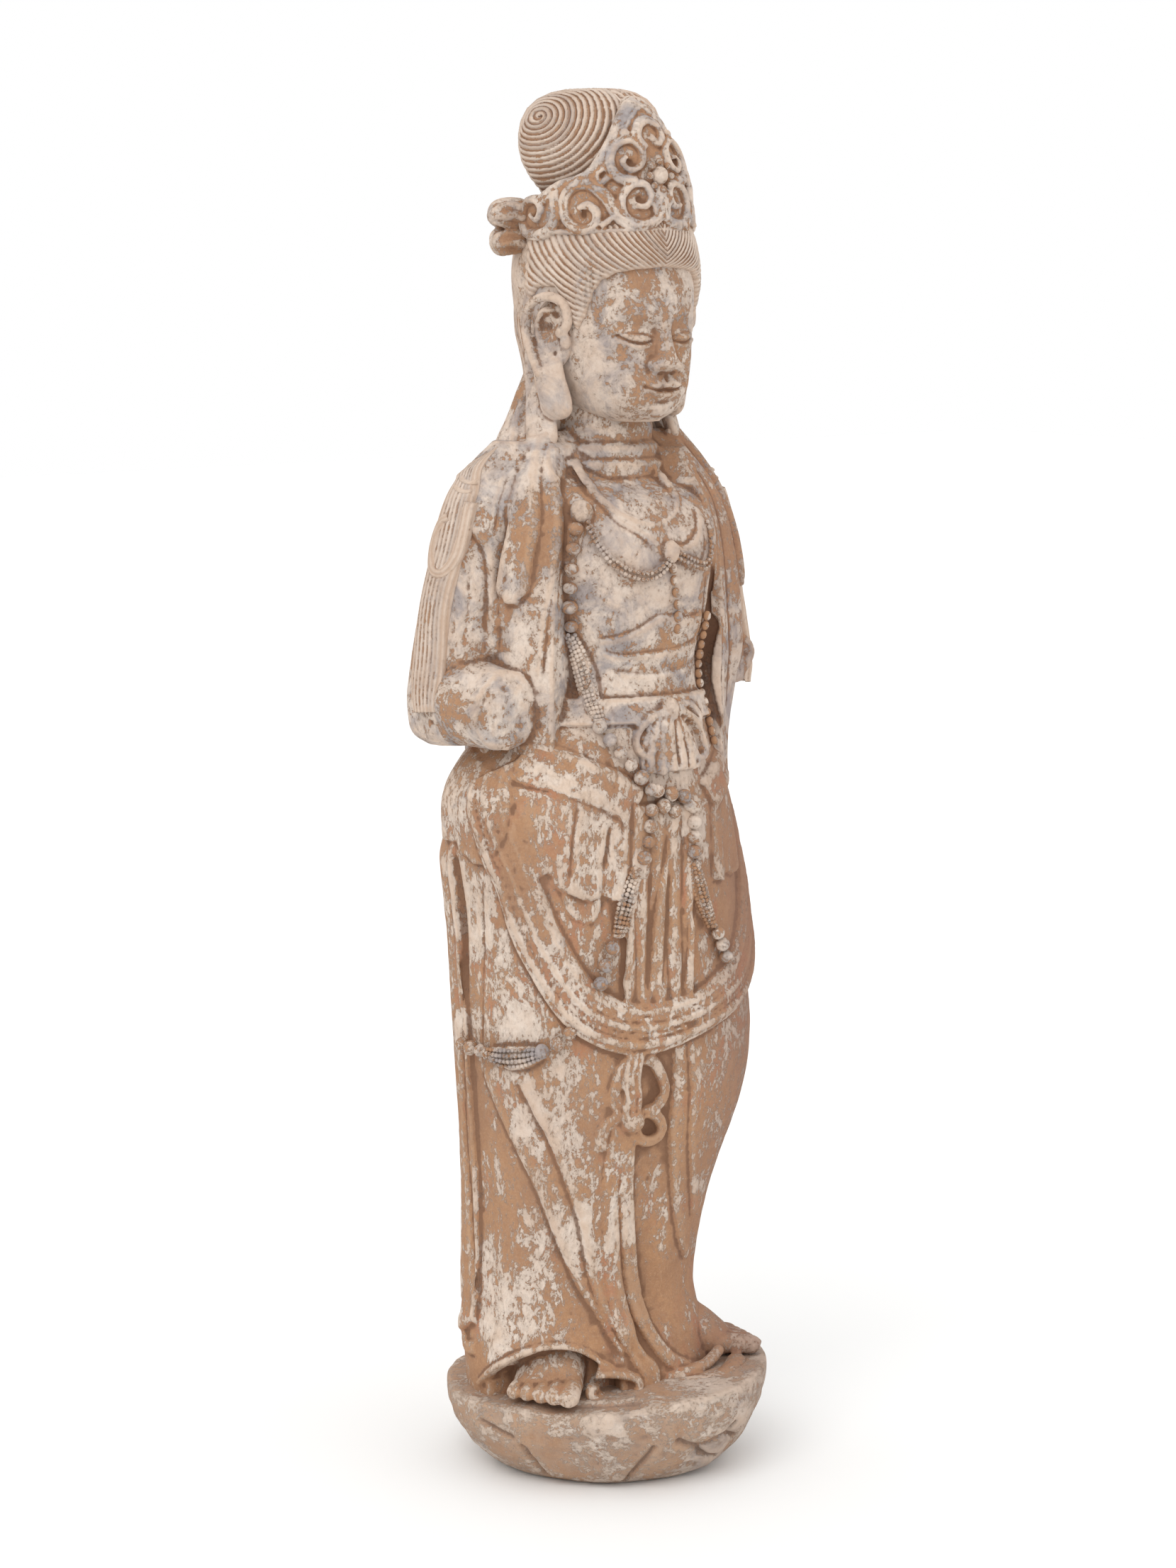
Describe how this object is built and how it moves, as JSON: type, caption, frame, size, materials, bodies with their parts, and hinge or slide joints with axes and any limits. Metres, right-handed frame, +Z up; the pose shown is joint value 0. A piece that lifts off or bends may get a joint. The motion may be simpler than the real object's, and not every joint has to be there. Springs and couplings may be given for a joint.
{
  "type": "standing stone guanyin statue",
  "caption": "Standing robed guanyin with a crowned head, jewel chains, a deep scarf curve and broken forearms, carved with its bowl shaped plinth from one stone.",
  "frame": {"origin": "centre of the plinth's flat underside, on the floor", "axes": "+Z up along the figure, -Y the way the figure faces, -X towards the figure's own right hand"},
  "size_m": [0.4538, 0.354, 1.4991],
  "materials": {
    "weathered_painted_stone": "matte carved stone with flaked pale paint over ochre, grey and brown"
  },
  "bodies": {
    "root": {"guanyin_statue": "weathered_painted_stone"}
  },
  "joints": []
}
